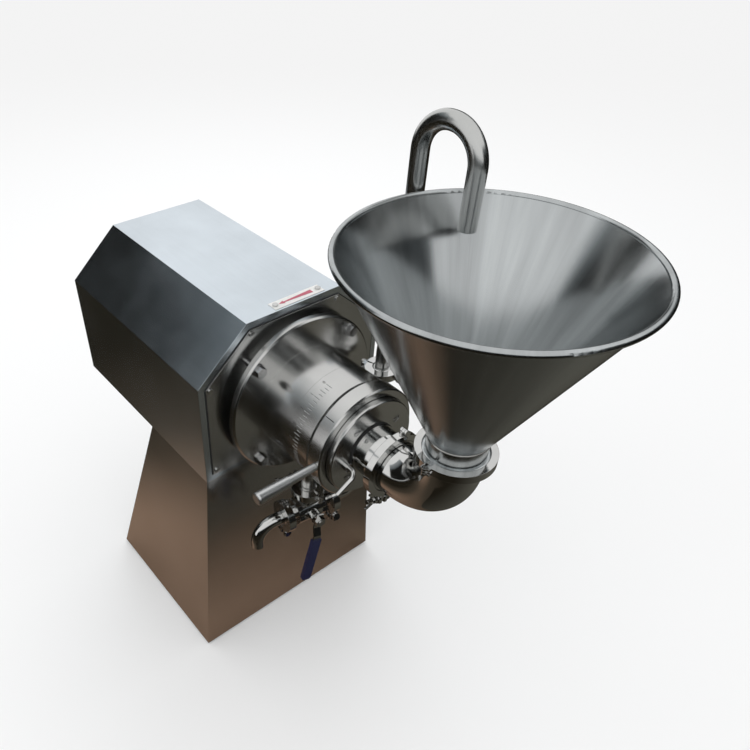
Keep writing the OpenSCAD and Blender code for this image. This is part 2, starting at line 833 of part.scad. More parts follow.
cone_l = rotor_end_x - rotor_x - rotor_disc;
cone_a = atan2(rotor_big_r - rotor_small_r, cone_l);

module milling_rotor() {
    slot = [4, 5];
    color("Silver") difference() {
        along_x(rotor_x) rotate_extrude() polygon([[rotor_bore_r, 0], [rotor_big_r, 0],
            [rotor_big_r, rotor_disc],
            [rotor_small_r, rotor_end_x - rotor_x], [rotor_bore_r, rotor_end_x - rotor_x]]);
        for (a = [0:18:342]) along_x(rotor_x + rotor_disc) rotate([0, 0, a]) translate([rotor_big_r, 0, 0])
            rotate([0, -cone_a, 0]) rotate([8, 0, 0]) translate([-slot[1], -slot[0] / 2, 4])
                cube([3 * slot[1], slot[0], 2 * cone_l]);
    }
}

module rotor_nut() {
    color("Silver") along_x(rotor_end_x) difference() {
        union() {
            cylinder(h = nut_h * 0.6, r = 18, $fn = 6);
            cylinder(h = nut_h, r = 13);
        }
        translate([0, 0, -over]) cylinder(h = nut_h - 2 + over, r = thread_r + seat_fit);
    }
}

// Radius of the stator's cone at a distance along it from the rotor's disc
function stator_cone(x) = rotor_big_r - (rotor_big_r - rotor_small_r) * x / cone_l + mill_gap;

module milling_stator() {
    stator_l = stator_front_x - rotor_x - rotor_disc;
    outer = chamber_r - slip_fit;
    color("Silver") difference() {
        along_x(rotor_x + rotor_disc) rotate_extrude()
            polygon([[stator_cone(0), 0], [outer, 0], [outer, stator_l],
            [stator_cone(stator_l), stator_l]]);
        at_cover_screws() translate([0, 0, stator_front_x - screw_reach - 2 * over])
            cylinder(h = screw_reach + 3 * over, r = screw_r + run_fit);
    }
}

module adjusting_ring() {
    bore = nose_r + slip_fit;
    lip = cover_r + 1.2;
    color("Silver") difference() {
        along_x(ring_x) rotate_extrude() polygon([[bore, 0], [barrel_r, 0], [ring_r, 6],
            [ring_r, ring_w - 2.5],
            [ring_r - 2.5, ring_w], [lip, ring_w], [lip, ring_w - ring_lip], [bore, ring_w - ring_lip]]);
        translate([handle_x, -ring_r - over, axis_z]) rotate([-90, 0, 0])
            cylinder(h = 12 + over, r = 5 + seat_fit);
    }
}

module adjusting_handle() {
    cone_end = handle_l * 0.46;
    color("Silver") translate([handle_x, -ring_r, axis_z]) rotate([90, 0, 0]) rotate_extrude()
        polygon([[0, -11],
        [5, -11], [5, 0.4], [6.5, 0.4], [8, cone_end], [9.5, cone_end], [11, handle_l - 4],
        [10, handle_l - 1],
        [8, handle_l], [0, handle_l]]);
}

module at_cover_screws() {
    for (a = cover_screws_a) translate([0, polar(cover_screw_r, a)[0], polar(cover_screw_r, a)[1]])
        rotate([0, 90, 0]) children();
}

lock_at = polar(lock_r, lock_a);
lock_hole = 5;
lock_depth = 16;
// Side the lock handle's arm lies to, from straight down toward the handle side
lock_side = -60;

module front_cover() {
    back_x = stator_front_x;
    flange = (cover_r + nose_r) / 2;
    bore = feed_r - wall;
    color("Silver") difference() {
        along_x(back_x) rotate_extrude() polygon([[bore, 0], [chamber_r - slip_fit, 0],
            [chamber_r - slip_fit, nose_x + over - back_x],
            [flange, nose_x + over - back_x], [flange, ring_lip_x - 0.4 - back_x],
            [cover_r, ring_lip_x - 0.4 - back_x],
            [cover_r, cover_x - 1.5 - back_x], [cover_r - 1.5, cover_x - back_x],
            [bore, cover_x - back_x]]);
        at_cover_screws() {
            translate([0, 0, back_x - over])
                cylinder(h = cover_x - back_x + 2 * over, r = screw_r + run_fit);
            translate([0, 0, cover_x - screw_sink])
                cylinder(h = screw_sink + over, r = screw_head[0] + slip_fit);
        }
        translate([cover_x - lock_depth, lock_at[0], lock_at[1]]) rotate([0, 90, 0])
            cylinder(h = lock_depth + over, r = lock_hole + run_fit);
    }
}

module cover_screws() {
    color("DarkGray") difference() {
        at_cover_screws() {
            translate([0, 0, stator_front_x - screw_reach])
                cylinder(h = cover_x - stator_front_x + screw_reach - screw_sink, r = screw_r);
            translate([0, 0, cover_x - screw_sink]) cylinder(h = screw_head[1], r = screw_head[0]);
        }
        at_cover_screws() translate([-screw_slot[0] / 2, -2 * screw_head[0],
            cover_x - screw_sink + screw_head[1] - screw_slot[1]])
            cube([screw_slot[0], 4 * screw_head[0], screw_sink]);
    }
}

module lock_handle() {
    boss_h = 10;
    arm = [[boss_h + 4, 90, lock_side], [33, 0, 0]];
    color("Silver") translate([cover_x + run_fit, lock_at[0], lock_at[1]]) rotate([0, 90, 0]) {
        cylinder(h = boss_h, r = 8);
        translate([0, 0, -lock_depth + over]) cylinder(h = lock_depth, r = lock_hole);
        bar(arm, 13, 4.25);
    }
}

// Feed

module feed_gaskets() {
    color("DimGray") {
        along_x(cover_x + 1.5) difference() {
            cylinder(h = 3, r = feed_r + 3, center = true);
            cylinder(h = 5, r = feed_r - wall, center = true);
        }
        at_feed_joint() gasket(feed_ferrule_r, feed_r - wall);
        at_hopper_joint() gasket(feed_ferrule_r, feed_r - wall);
    }
}

module feed_spool() {
    start = 3;
    end = spool_l - gasket_t / 2;
    color("Silver") along_x(cover_x) difference() {
        union() {
            translate([0, 0, start]) cylinder(h = end - start, r = feed_r);
            translate([0, 0, start]) cylinder(h = 4, r = feed_r + 2);
            translate([0, 0, end]) ferrule(feed_ferrule_r, feed_r);
        }
        translate([0, 0, -over]) cylinder(h = spool_l + over, r = feed_r - wall);
    }
}

module feed_elbow() {
    half = gasket_t / 2;
    tail = 20;
    moves = [[tail - half, 90, 180], [tail - half, 0, 0]];
    color("Silver") difference() {
        union() {
            along_x(feed_joint_x + half) bar(moves, elbow_l - tail, feed_r);
            along_x(feed_joint_x + half) mirror([0, 0, 1]) ferrule(feed_ferrule_r, feed_r);
            translate([hopper_x, 0, hopper_joint_z - half]) ferrule(feed_ferrule_r, feed_r);
        }
        along_x(feed_joint_x + half) bore(moves, elbow_l - tail, feed_r - wall);
    }
}

module hopper() {
    low = hopper_joint_z + gasket_t / 2;
    big = hopper_d / 2;
    color("Silver") translate([hopper_x, 0, 0]) {
        difference() {
            union() {
                rotate_extrude() polygon([[0, low], [feed_r, low], [feed_r, weld_z], [big, rim_z],
                    [0, rim_z]]);
                translate([0, 0, low]) mirror([0, 0, 1]) ferrule(feed_ferrule_r, feed_r);
                translate([0, 0, rim_z]) rotate_extrude() translate([big + rim_r - wall, 0])
                    circle(r = rim_r);
            }
            rotate_extrude() polygon([[0, low - over], [feed_r - wall, low - over],
                [feed_r - wall, weld_z + wall / 2],
                [big - wall, rim_z], [big - wall, rim_z + 2 * rim_r], [0, rim_z + 2 * rim_r]]);
        }
    }
}

module feed_clamp_halves() {
    color("Silver") {
        at_feed_joint() clamp_halves(feed_ferrule_r, feed_r, feed_clamp_hw);
        at_hopper_joint() clamp_halves(feed_ferrule_r, feed_r, feed_clamp_hw);
    }
}

module feed_clamp_bolts() {
    color("Silver") {
        at_feed_joint() clamp_bolt(feed_ferrule_r, feed_clamp_hw);
        at_hopper_joint() clamp_bolt(feed_ferrule_r, feed_clamp_hw);
    }
}

module feed_wing_nut() {
    color("Silver") at_feed_joint() wing_nut(feed_ferrule_r);
}

module hopper_wing_nut() {
    color("Silver") at_hopper_joint() wing_nut(feed_ferrule_r);
}

// Outlet and return line

module at_tube_joints() {
    at_outlet_joint() children();
    at_discharge_joint() children();
    at_return_joint() children();
    at_riser_joint() children();
}

module tube_clamp_halves() {
    color("Silver") at_tube_joints() clamp_halves(tube_ferrule_r, tube_r, tube_clamp_hw);
}

module tube_clamp_bolts() {
    color("Silver") at_tube_joints() clamp_bolt(tube_ferrule_r, tube_clamp_hw);
}

module tube_gaskets() {
    color("DimGray") at_tube_joints() gasket(tube_ferrule_r, tube_r - tube_wall);
}

module outlet_wing_nut() {
    color("Silver") at_outlet_joint() wing_nut(tube_ferrule_r);
}

module discharge_wing_nut() {
    color("Silver") at_discharge_joint() wing_nut(tube_ferrule_r);
}

module return_wing_nut() {
    color("Silver") at_return_joint() wing_nut(tube_ferrule_r);
}

module riser_wing_nut() {
    color("Silver") at_riser_joint() wing_nut(tube_ferrule_r);
}

// Valve frame: local X along the stem, local Y along the run, local Z up
module at_valve() {
    translate(valve) rotate([0, 0, valve_a - 90]) children();
}

module port(a, r, l) {
    rotate(a) cylinder(h = l, r = r);
}

up = [0, 0, 0];
toward_return = [-90, 0, 0];
toward_discharge = [90, 0, 0];
toward_stem = [0, 90, 0];
ports = [up, toward_return, toward_discharge];

module valve_body() {
    face = port_l - gasket_t / 2;
    color("Silver") at_valve() difference() {
        union() {
            translate([0, -28, 0]) rotate([-90, 0, 0]) cylinder(h = 56, r = body_r);
            for (s = [-1, 1]) translate([0, s * 25 - 5, 0]) rotate([-90, 0, 0])
                cylinder(h = 10, r = body_r + 3, $fn = 6);
            for (a = ports) rotate(a) {
                cylinder(h = face, r = tube_r);
                translate([0, 0, face]) ferrule(tube_ferrule_r, tube_r);
            }
            port(toward_stem, 12, bonnet_l);
        }
        sphere(r = ball_r + run_fit);
        for (a = ports) port(a, tube_r - tube_wall, port_l + over);
        port(toward_stem, stem_r + run_fit, bonnet_l + over);
    }
}

module valve_ball() {
    color("Silver") at_valve() difference() {
        sphere(r = ball_r);
        port(up, tube_r - tube_wall, ball_r + over);
        port(toward_return, tube_r - tube_wall, ball_r + over);
        sphere(r = tube_r - tube_wall);
        translate([ball_r - 4, -3, -ball_r]) cube([ball_r, 6, 2 * ball_r]);
    }
}

strap_x = bonnet_l + 4;

module valve_stem() {
    color("Silver") at_valve() {
        translate([ball_r + 0.4, 0, 0]) rotate([0, 90, 0]) cylinder(h = strap_x + 11 - ball_r, r = stem_r);
        translate([ball_r - 4 + seat_fit, -3 + seat_fit, -5]) cube([6, 6 - 2 * seat_fit, 10]);
        translate([strap_x + strap_t, 0, 0]) rotate([0, 90, 0]) cylinder(h = 7, r = 11, $fn = 6);
    }
}

module at_lever() {
    at_valve() rotate([-lever_lean, 0, 0]) children();
}

// Side view of the bent strap, X along the stem
function strap_line() = let (a = strap_x, b = strap_x + joggle, z1 = -18, z2 = -34, z3 = -lever_l + 6,
    t = strap_t)
    [[a, 14], [a + t, 14], [a + t, z1 + 1], [b + t, z2 + 1], [b + t, z3], [b, z3], [b, z2], [a, z1]];

module strap_solid() {
    translate([0, strap_w / 2, 0]) rotate([90, 0, 0]) linear_extrude(strap_w) polygon(strap_line());
}

module valve_lever() {
    color("Silver") at_lever() difference() {
        strap_solid();
        translate([strap_x - over, 0, 0]) rotate([0, 90, 0])
            cylinder(h = strap_t + 2 * over, r = stem_r + seat_fit);
    }
}

module lever_sleeve() {
    mid = strap_x + joggle + strap_t / 2;
    edge = 3;
    color("MidnightBlue") at_lever() difference() {
        translate([mid - sleeve_t / 2, 0, -lever_l]) rotate([0, 90, 0]) linear_extrude(sleeve_t)
            polygon([[0, -sleeve_w / 2 + edge], [-edge, -sleeve_w / 2], [-sleeve_l, -sleeve_w / 2],
                [-sleeve_l, sleeve_w / 2], [-edge, sleeve_w / 2], [0, sleeve_w / 2 - edge]]);
        translate([mid - strap_t / 2 - seat_fit, -strap_w / 2 - seat_fit, -lever_l + 6 - seat_fit])
            cube([strap_t + 2 * seat_fit, strap_w + 2 * seat_fit, sleeve_l]);
    }
}

module start_ferrule() {
    mirror([0, 0, 1]) ferrule(tube_ferrule_r, tube_r);
}

module tube(moves, big) {
    difference() {
        union() {
            bar(moves, big, tube_r);
            start_ferrule();
        }
        bore(moves, big, tube_r - tube_wall);
    }
}

module discharge_elbow() {
    face = port_l + gasket_t / 2;
    moves = [[discharge_l - face - bend_r, 90, -90], [discharge_drop - bend_r, 0, 0]];
    color("Silver") at_valve() translate([0, -face, 0]) rotate(toward_discharge) tube(moves, bend_r);
}

// Leaves along the valve's run, bends a little toward the riser's foot and turns up to the joint
module return_pipe() {
    face = port_l + gasket_t / 2;
    top = riser_joint_z - gasket_t / 2;
    skewed = (-riser_run[0] - return_r * (1 - cos(return_skew))) / sin(return_skew);
    straight = riser_run[1] - face - return_r * sin(return_skew) - skewed * cos(return_skew);
    moves = [[straight, return_skew, 180], [skewed - return_r, 90, -90],
        [top - valve_z - return_r, 0, 0]];
    color("Silver") at_valve() translate([0, face, 0]) rotate(toward_return) difference() {
        union() {
            bar(moves, return_r, tube_r);
            start_ferrule();
            translate([riser_run[0], valve_z - top, riser_run[1] - face]) rotate([90, 0, 0])
                ferrule(tube_ferrule_r, tube_r);
        }
        bore(moves, return_r, tube_r - tube_wall);
    }
}

module gooseneck() {
    low = riser_joint_z + gasket_t / 2;
    slope_l = (drift - 2 * loop_r * (1 - cos(lean))) / sin(lean);
    lean_h = 2 * loop_r * sin(lean) + slope_l * cos(lean);
    moves = [[lean_start, lean, drift_a], [slope_l, lean, drift_a + 180],
        [bend_top_z - loop_r - low - lean_start - lean_h, 90, 0], [loop_w - 2 * loop_r, 90, 0],
        [bend_top_z - loop_r - spill_z, 0, 0]];
    color("Silver") translate([riser_x, riser_y, low]) tube(moves, loop_r);
}

hood_shell();
pedestal_shell();
rear_panel();
front_plate();
panel_screws();
base_frame();
foot_pads();
motor_bracket();
arrow_plate();
arrow_mark();
cable_gland();
motor_housing();
stator_core();
motor_front_shield();
motor_rear_shield();
motor_rotor();
cooling_fan();
fan_cowl();
terminal_box();
motor_bolts();
main_shaft();
bearing_outer_rings();
bearing_inner_rings();
bearing_balls();
mill_seat();
seat_bolts();
scale_ring();
seal_seat();
seal_ring();
milling_rotor();
rotor_nut();
milling_stator();
adjusting_ring();
adjusting_handle();
front_cover();
cover_screws();
lock_handle();
feed_gaskets();
feed_spool();
feed_elbow();
hopper();
feed_clamp_halves();
feed_clamp_bolts();
feed_wing_nut();
hopper_wing_nut();
tube_clamp_halves();
tube_clamp_bolts();
outlet_wing_nut();
discharge_wing_nut();
return_wing_nut();
riser_wing_nut();
tube_gaskets();
valve_body();
valve_ball();
valve_stem();
valve_lever();
lever_sleeve();
discharge_elbow();
return_pipe();
gooseneck();
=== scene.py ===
import json
import math

import bpy
from mathutils import Matrix, Vector


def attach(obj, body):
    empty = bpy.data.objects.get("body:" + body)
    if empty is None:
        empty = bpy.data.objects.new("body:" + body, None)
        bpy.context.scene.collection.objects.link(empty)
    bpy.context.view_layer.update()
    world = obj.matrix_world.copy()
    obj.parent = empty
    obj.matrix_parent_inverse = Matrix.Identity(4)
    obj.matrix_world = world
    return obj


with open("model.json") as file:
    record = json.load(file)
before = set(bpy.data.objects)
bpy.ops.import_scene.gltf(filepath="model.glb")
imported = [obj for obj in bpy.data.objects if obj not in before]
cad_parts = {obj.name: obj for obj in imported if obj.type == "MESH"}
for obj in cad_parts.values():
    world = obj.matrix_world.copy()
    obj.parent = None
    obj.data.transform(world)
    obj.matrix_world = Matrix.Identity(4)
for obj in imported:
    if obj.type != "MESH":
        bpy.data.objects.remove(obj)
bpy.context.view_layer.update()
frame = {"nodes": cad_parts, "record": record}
nodes = frame["nodes"]
scene = bpy.context.scene
scene.view_settings.view_transform = "Standard"

# Camera at the photo's angle, for a square picture: sizes in pixels, places in metres
PICTURE = 750
SENSOR = 36.0
NEAR = 0.02
FOCAL_PIXELS = 706.19
CENTRE = (290.2, 425.4)
EYE = Vector((0.98309, -0.63890, 1.40504))
RIGHT = Vector((0.61850821, 0.78576349, 0.00483042))
DOWN = Vector((0.51758205, -0.40277035, -0.75490719))
FORWARD = Vector((-0.59123296, 0.46941643, -0.65581385))


def add_camera():
    data = bpy.data.cameras.new("camera")
    data.sensor_fit = "HORIZONTAL"
    data.sensor_width = SENSOR
    data.lens = SENSOR * FOCAL_PIXELS / PICTURE
    data.shift_x = 0.5 - CENTRE[0] / PICTURE
    data.shift_y = CENTRE[1] / PICTURE - 0.5
    data.clip_start = NEAR
    camera = bpy.data.objects.new("camera", data)
    scene.collection.objects.link(camera)
    turn = Matrix((RIGHT, -DOWN, -FORWARD)).transposed().to_4x4()
    camera.matrix_world = Matrix.Translation(EYE) @ turn
    scene.camera = camera


# Materials
# Noise lies mostly between these two values
CLOUD_LOW, CLOUD_HIGH = 0.3, 0.7
ROUND_SAMPLES = 6
UNIT = (1.0, 1.0, 1.0)


class Shader:
    """One material, with short calls for its nodes."""

    def __init__(self, name):
        self.material = bpy.data.materials.new(name)
        self.material.use_nodes = True
        self.tree = self.material.node_tree
        self.surface = self.tree.nodes["Principled BSDF"]

    def node(self, kind, **values):
        made = self.tree.nodes.new("ShaderNode" + kind)
        for key, value in values.items():
            setattr(made, key, value)
        return made

    def link(self, source, target):
        self.tree.links.new(source, target)

    def set(self, **values):
        for key, value in values.items():
            self.surface.inputs[key.replace("_", " ")].default_value = value

    def place(self, scale, about=(0.0, 0.0, 0.0)):
        """Coordinates of the part, in metres, moved to a point and stretched."""
        coordinates = self.node("TexCoord")
        mapping = self.node("Mapping")
        mapping.inputs["Location"].default_value = [-a * s for a, s in zip(about, scale)]
        mapping.inputs["Scale"].default_value = scale
        self.link(coordinates.outputs["Object"], mapping.inputs["Vector"])
        return mapping.outputs["Vector"]

    def noise(self, vector, scale=1.0, detail=3.0, roughness=0.55):
        made = self.node("TexNoise")
        made.inputs["Scale"].default_value = scale
        made.inputs["Detail"].default_value = detail
        made.inputs["Roughness"].default_value = roughness
        self.link(vector, made.inputs["Vector"])
        return made.outputs["Fac"]

    def ramp(self, value, low, high, start=CLOUD_LOW, end=CLOUD_HIGH):
        """A number that goes from low to high as the value goes from start to end."""
        made = self.node("MapRange")
        for key, number in (("From Min", start), ("From Max", end), ("To Min", low), ("To Max", high)):
            made.inputs[key].default_value = number
        self.link(value, made.inputs["Value"])
        return made.outputs["Result"]

    def colours(self, value, stops):
        made = self.node("ValToRGB")
        band = made.color_ramp
        while len(band.elements) < len(stops):
            band.elements.new(0.5)
        for element, (place, colour) in zip(band.elements, stops):
            element.position = place
            element.color = (*colour, 1.0)
        self.link(value, made.inputs["Fac"])
        return made.outputs["Color"]

    def bump(self, height, strength, distance, edge=0.0):
        """Uneven skin, over edges rounded to a small radius."""
        made = self.node("Bump")
        made.inputs["Strength"].default_value = strength
        made.inputs["Distance"].default_value = distance
        self.link(height, made.inputs["Height"])
        if edge > 0.0:
            soft = self.node("Bevel", samples=ROUND_SAMPLES)
            soft.inputs["Radius"].default_value = edge
            self.link(soft.outputs["Normal"], made.inputs["Normal"])
        self.link(made.outputs["Normal"], self.surface.inputs["Normal"])


def shades(colour, spread):
    """Stops from a darker to a lighter shade of a colour."""
    dark, light = (tuple(c * by for c in colour) for by in (1.0 - spread, 1.0 + spread))
    return [(CLOUD_LOW, dark), (CLOUD_HIGH, light)]


# Height of the mill axis and place of the hopper's axis
AXIS_Z = 0.613
HOPPER_X = 0.5554
BAND_WIDTH = 1.0
BAND_RISE = 0.8


def brushed(made, scale):
    """Grain, drawn out along the axis whose scale is small."""
    return made.place(scale)


def turned(made, scale):
    """Lathe lines about the mill axis: they follow the place along it plus the distance from it."""
    parts = made.node("SeparateXYZ")
    made.link(made.place(UNIT, (0.0, 0.0, AXIS_Z)), parts.inputs[0])
    across = made.node("CombineXYZ")
    made.link(parts.outputs["Y"], across.inputs["Y"])
    made.link(parts.outputs["Z"], across.inputs["Z"])
    reach = made.node("VectorMath", operation="LENGTH")
    made.link(across.outputs[0], reach.inputs[0])
    both = made.node("Math", operation="ADD")
    made.link(parts.outputs["X"], both.inputs[0])
    made.link(reach.outputs["Value"], both.inputs[1])
    line = made.node("Math", operation="MULTIPLY")
    line.inputs[1].default_value = scale
    made.link(both.outputs[0], line.inputs[0])
    vector = made.node("CombineXYZ")
    made.link(line.outputs[0], vector.inputs["X"])
    return vector.outputs[0]


def streaked(made, scale, rise=4.0):
    """Streaks down a cone: they follow the angle about the hopper's axis."""
    parts = made.node("SeparateXYZ")
    made.link(made.place(UNIT, (HOPPER_X, 0.0, 0.0)), parts.inputs[0])
    angle = made.node("Math", operation="ARCTAN2")
    made.link(parts.outputs["Y"], angle.inputs[0])
    made.link(parts.outputs["X"], angle.inputs[1])
    wide = made.node("Math", operation="MULTIPLY")
    wide.inputs[1].default_value = scale
    made.link(angle.outputs[0], wide.inputs[0])
    tall = made.node("Math", operation="MULTIPLY")
    tall.inputs[1].default_value = rise
    made.link(parts.outputs["Z"], tall.inputs[0])
    vector = made.node("CombineXYZ")
    made.link(wide.outputs[0], vector.inputs["X"])
    made.link(tall.outputs[0], vector.inputs["Y"])
    return vector.outputs[0]


def drawn(made):
    """Broad bands of polish that run down a cone."""
    return streaked(made, BAND_WIDTH, BAND_RISE)


# Bare steel: how its roughness varies about the given one, and how strong its grain is
SMOOTHEST, ROUGHEST = 0.75, 1.3
GRAIN_STRENGTH = 0.2
# Paint, plastic and rubber: the same, and the size of their stains
SLEEKEST, DULLEST = 0.85, 1.2
SKIN_STRENGTH = 0.4
STAINS = 9.0


def steel(name, colour, rough, grain, scale, depth=0.00002, spread=0.10, cloud=6.0, marks=0.25,
          edge=0.0008, drift=None):
    """Bare steel: fine grain over slow clouds of handling."""
    made = Shader(name)
    made.set(Metallic=1.0)
    fine = made.noise(grain(made, scale), detail=4.0, roughness=0.7)
    clouds = drift(made) if drift else made.place(UNIT)
    slow = made.noise(clouds, scale=cloud)
    mixed = made.node("Mix", data_type="FLOAT")
    mixed.inputs["Factor"].default_value = marks
    made.link(slow, mixed.inputs["A"])
    made.link(fine, mixed.inputs["B"])
    skin = mixed.outputs["Result"]
    made.link(made.colours(skin, shades(colour, spread)), made.surface.inputs["Base Color"])
    made.link(made.ramp(skin, rough * SMOOTHEST, rough * ROUGHEST), made.surface.inputs["Roughness"])
    made.bump(fine, GRAIN_STRENGTH, depth, edge)
    return made.material


def coating(name, colour, rough, speck=900.0, depth=0.0001, spread=0.12):
    """Paint, plastic or rubber with a fine uneven skin."""
    made = Shader(name)
    skin = made.noise(made.place(UNIT), scale=speck, detail=2.0)
    slow = made.noise(made.place(UNIT), scale=STAINS)
    made.link(made.colours(slow, shades(colour, spread)), made.surface.inputs["Base Color"])
    made.link(made.ramp(slow, rough * SLEEKEST, rough * DULLEST), made.surface.inputs["Roughness"])
    made.bump(skin, SKIN_STRENGTH, depth)
    return made.material


MATERIALS = {
    "sheet_steel": steel("sheet_steel", (0.58, 0.585, 0.58), 0.21, brushed, (600.0, 600.0, 7.0)),
    "satin_steel": steel("satin_steel", (0.58, 0.58, 0.57), 0.2, turned, 1100.0),
    "polished_steel": steel("polished_steel", (0.60, 0.60, 0.59), 0.08, brushed, (60.0, 60.0, 60.0),
                            depth=0.000004),
    "hopper_steel": steel("hopper_steel", (0.44, 0.46, 0.465), 0.2, streaked, 160.0, depth=0.000006,
                          spread=0.28, cloud=3.2, marks=0.2, edge=0.0, drift=drawn),
    "bolt_steel": steel("bolt_steel", (0.45, 0.45, 0.45), 0.24, brushed, (300.0, 300.0, 300.0)),
    "frame_steel": coating("frame_steel", (0.09, 0.095, 0.10), 0.45),
    "motor_paint": coating("motor_paint", (0.035, 0.09, 0.16), 0.35),
    "motor_iron": steel("motor_iron", (0.20, 0.16, 0.12), 0.45, brushed, (1800.0, 10.0, 10.0)),
    "seal_dark": coating("seal_dark", (0.02, 0.02, 0.022), 0.3),
    "rubber_black": coating("rubber_black", (0.018, 0.018, 0.018), 0.6),
    "black_plastic": coating("black_plastic", (0.02, 0.02, 0.02), 0.45),
    "navy_sleeve": coating("navy_sleeve", (0.010, 0.012, 0.045), 0.4),
    "white_plate": coating("white_plate", (0.80, 0.80, 0.78), 0.4),
    "red_mark": coating("red_mark", (0.50, 0.10, 0.15), 0.45),
}

for entry in frame["record"]["subparts"]:
    target = nodes[entry["node"]]
    target.data.materials.clear()
    target.data.materials.append(MATERIALS[entry["material_slot"]])

# The housing is brushed along its length
HOOD_STEEL = steel("hood_steel", (0.64, 0.70, 0.75), 0.21, brushed, (7.0, 600.0, 600.0))
nodes["hood_shell"].data.materials[0] = HOOD_STEEL
# The return bend is satin and the handle's grip is matt
BEND_STEEL = steel("bend_steel", (0.52, 0.525, 0.515), 0.22, brushed, (120.0, 120.0, 8.0))
nodes["gooseneck"].data.materials[0] = BEND_STEEL
HANDLE_STEEL = steel("handle_steel", (0.62, 0.63, 0.63), 0.36, brushed, (500.0, 30.0, 500.0))
nodes["adjusting_handle"].data.materials[0] = HANDLE_STEEL
ENGRAVED = coating("engraved", (0.035, 0.035, 0.035), 0.5)
# Painted highlight: pale strips beside the scale's engraved lines, standing in for the lit wall of each
# groove
PAINTED_GROOVE_GLINT = coating("painted_groove_glint", (0.62, 0.63, 0.62), 0.4)
WELD_STEEL = steel("weld_steel", (0.50, 0.49, 0.47), 0.3, brushed, (500.0, 500.0, 500.0), depth=0.00005)


# Pieces that the scene adds to the solids
def piece(name, vertices, faces, material, body, slot, smooth=False):
    mesh = bpy.data.meshes.new(name)
    mesh.from_pydata(vertices, [], faces)
    mesh.validate()
    made = bpy.data.objects.new(name, mesh)
    scene.collection.objects.link(made)
    mesh.materials.append(material)
    for face in mesh.polygons:
        face.use_smooth = smooth
    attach(made, body)
    return made


# Scale ring: angles in degrees from +Y toward +Z, places along the mill axis
SCALE_R = 0.100
SCALE_FROM, SCALE_TO, SCALE_STEP = 108, 204, 4
LONG_EVERY, NUMBER_EVERY = 2, 4
LONG_MARK, SHORT_MARK, MARK_END = 0.311, 0.315, 0.324
NUMBER_X, NUMBER_H = 0.305, 0.008
MARK_W = 0.0008
# Width of the painted highlight strip beside each mark
GLINT_W = 0.0005
MARK_LIFT = 0.00015
# Index mark on the adjusting ring
RING_R = 0.103
INDEX_FROM, INDEX_TO = 0.356, 0.374
INDEX_ANGLE = 132
INDEX_W = 0.0016


def on_ring(x, angle, radius):
    """A point about the mill axis, the angle from +Y toward +Z."""
    return (x, radius * math.cos(angle), AXIS_Z + radius * math.sin(angle))


def stroke(x0, x1, angle, radius, width):
    """A shallow bar on a cylinder along the mill axis, as vertices and faces."""
    half = width / 2 / radius
    vertices = []
    for r in (radius - MARK_LIFT, radius + MARK_LIFT):
        for x, a in ((x0, angle - half), (x1, angle - half), (x1, angle + half), (x0, angle + half)):
            vertices.append(on_ring(x, a, r))
    faces = [(4, 5, 6, 7), (0, 3, 2, 1), (0, 1, 5, 4), (1, 2, 6, 5), (2, 3, 7, 6), (3, 0, 4, 7)]
    return vertices, faces


def join(parts):
    vertices, faces = [], []
    for part_vertices, part_faces in parts:
        start = len(vertices)
        vertices += part_vertices
        faces += [tuple(start + i for i in face) for face in part_faces]
    return vertices, faces


def digits(text, x, angle, radius, height):
    """A number wrapped on a cylinder, read along its turn, as vertices and faces."""
    curve = bpy.data.curves.new("digits", "FONT")
    curve.body = text
    curve.size = height
    curve.align_x = "CENTER"
    curve.align_y = "CENTER"
    holder = bpy.data.objects.new("digits", curve)
    scene.collection.objects.link(holder)
    graph = bpy.context.evaluated_depsgraph_get()
    flat_mesh = bpy.data.meshes.new_from_object(holder.evaluated_get(graph))
    top = radius + MARK_LIFT
    vertices = [on_ring(x - v.co.y, angle - v.co.x / radius, top) for v in flat_mesh.vertices]
    faces = [tuple(face.vertices) for face in flat_mesh.polygons]
    bpy.data.objects.remove(holder)
    bpy.data.curves.remove(curve)
    bpy.data.meshes.remove(flat_mesh)
    return vertices, faces


def scale_marks():
    """Engraved lines, each with a pale strip beside it that is a painted highlight for the lit wall of
    its groove, and numbers.
    """
    parts, glints = [], []
    for i, degrees in enumerate(range(SCALE_FROM, SCALE_TO + 1, SCALE_STEP)):
        angle = math.radians(degrees)
        start = LONG_MARK if i % LONG_EVERY == 0 else SHORT_MARK
        parts.append(stroke(start, MARK_END, angle, SCALE_R, MARK_W))
        # A pale strip beside each mark: painted highlight for the groove's lit wall
        glints.append(stroke(start, MARK_END, angle + (MARK_W + GLINT_W) / 2 / SCALE_R, SCALE_R, GLINT_W))
        if i % NUMBER_EVERY == 0:
            parts.append(digits(str(i // NUMBER_EVERY), NUMBER_X, angle, SCALE_R, NUMBER_H))
    piece("scale_marks", *join(parts), ENGRAVED, "frame", "black_plastic")
    # The pale strips are painted highlights, not parts of the ring
    piece("scale_painted_glints", *join(glints), PAINTED_GROOVE_GLINT, "frame", "polished_steel")


def ring_mark():
    mark = stroke(INDEX_FROM, INDEX_TO, math.radians(INDEX_ANGLE), RING_R, INDEX_W)
    piece("ring_mark", *mark, ENGRAVED, "ring", "black_plastic")


# Weld where the hopper's cone meets its neck
WELD_Z = 0.754
WELD_R = 0.0446
WELD_T = 0.0014
RIPPLES = 90
RIPPLE_SHARE = 0.12
WELD_STEPS = 240
WELD_SIDES = 8


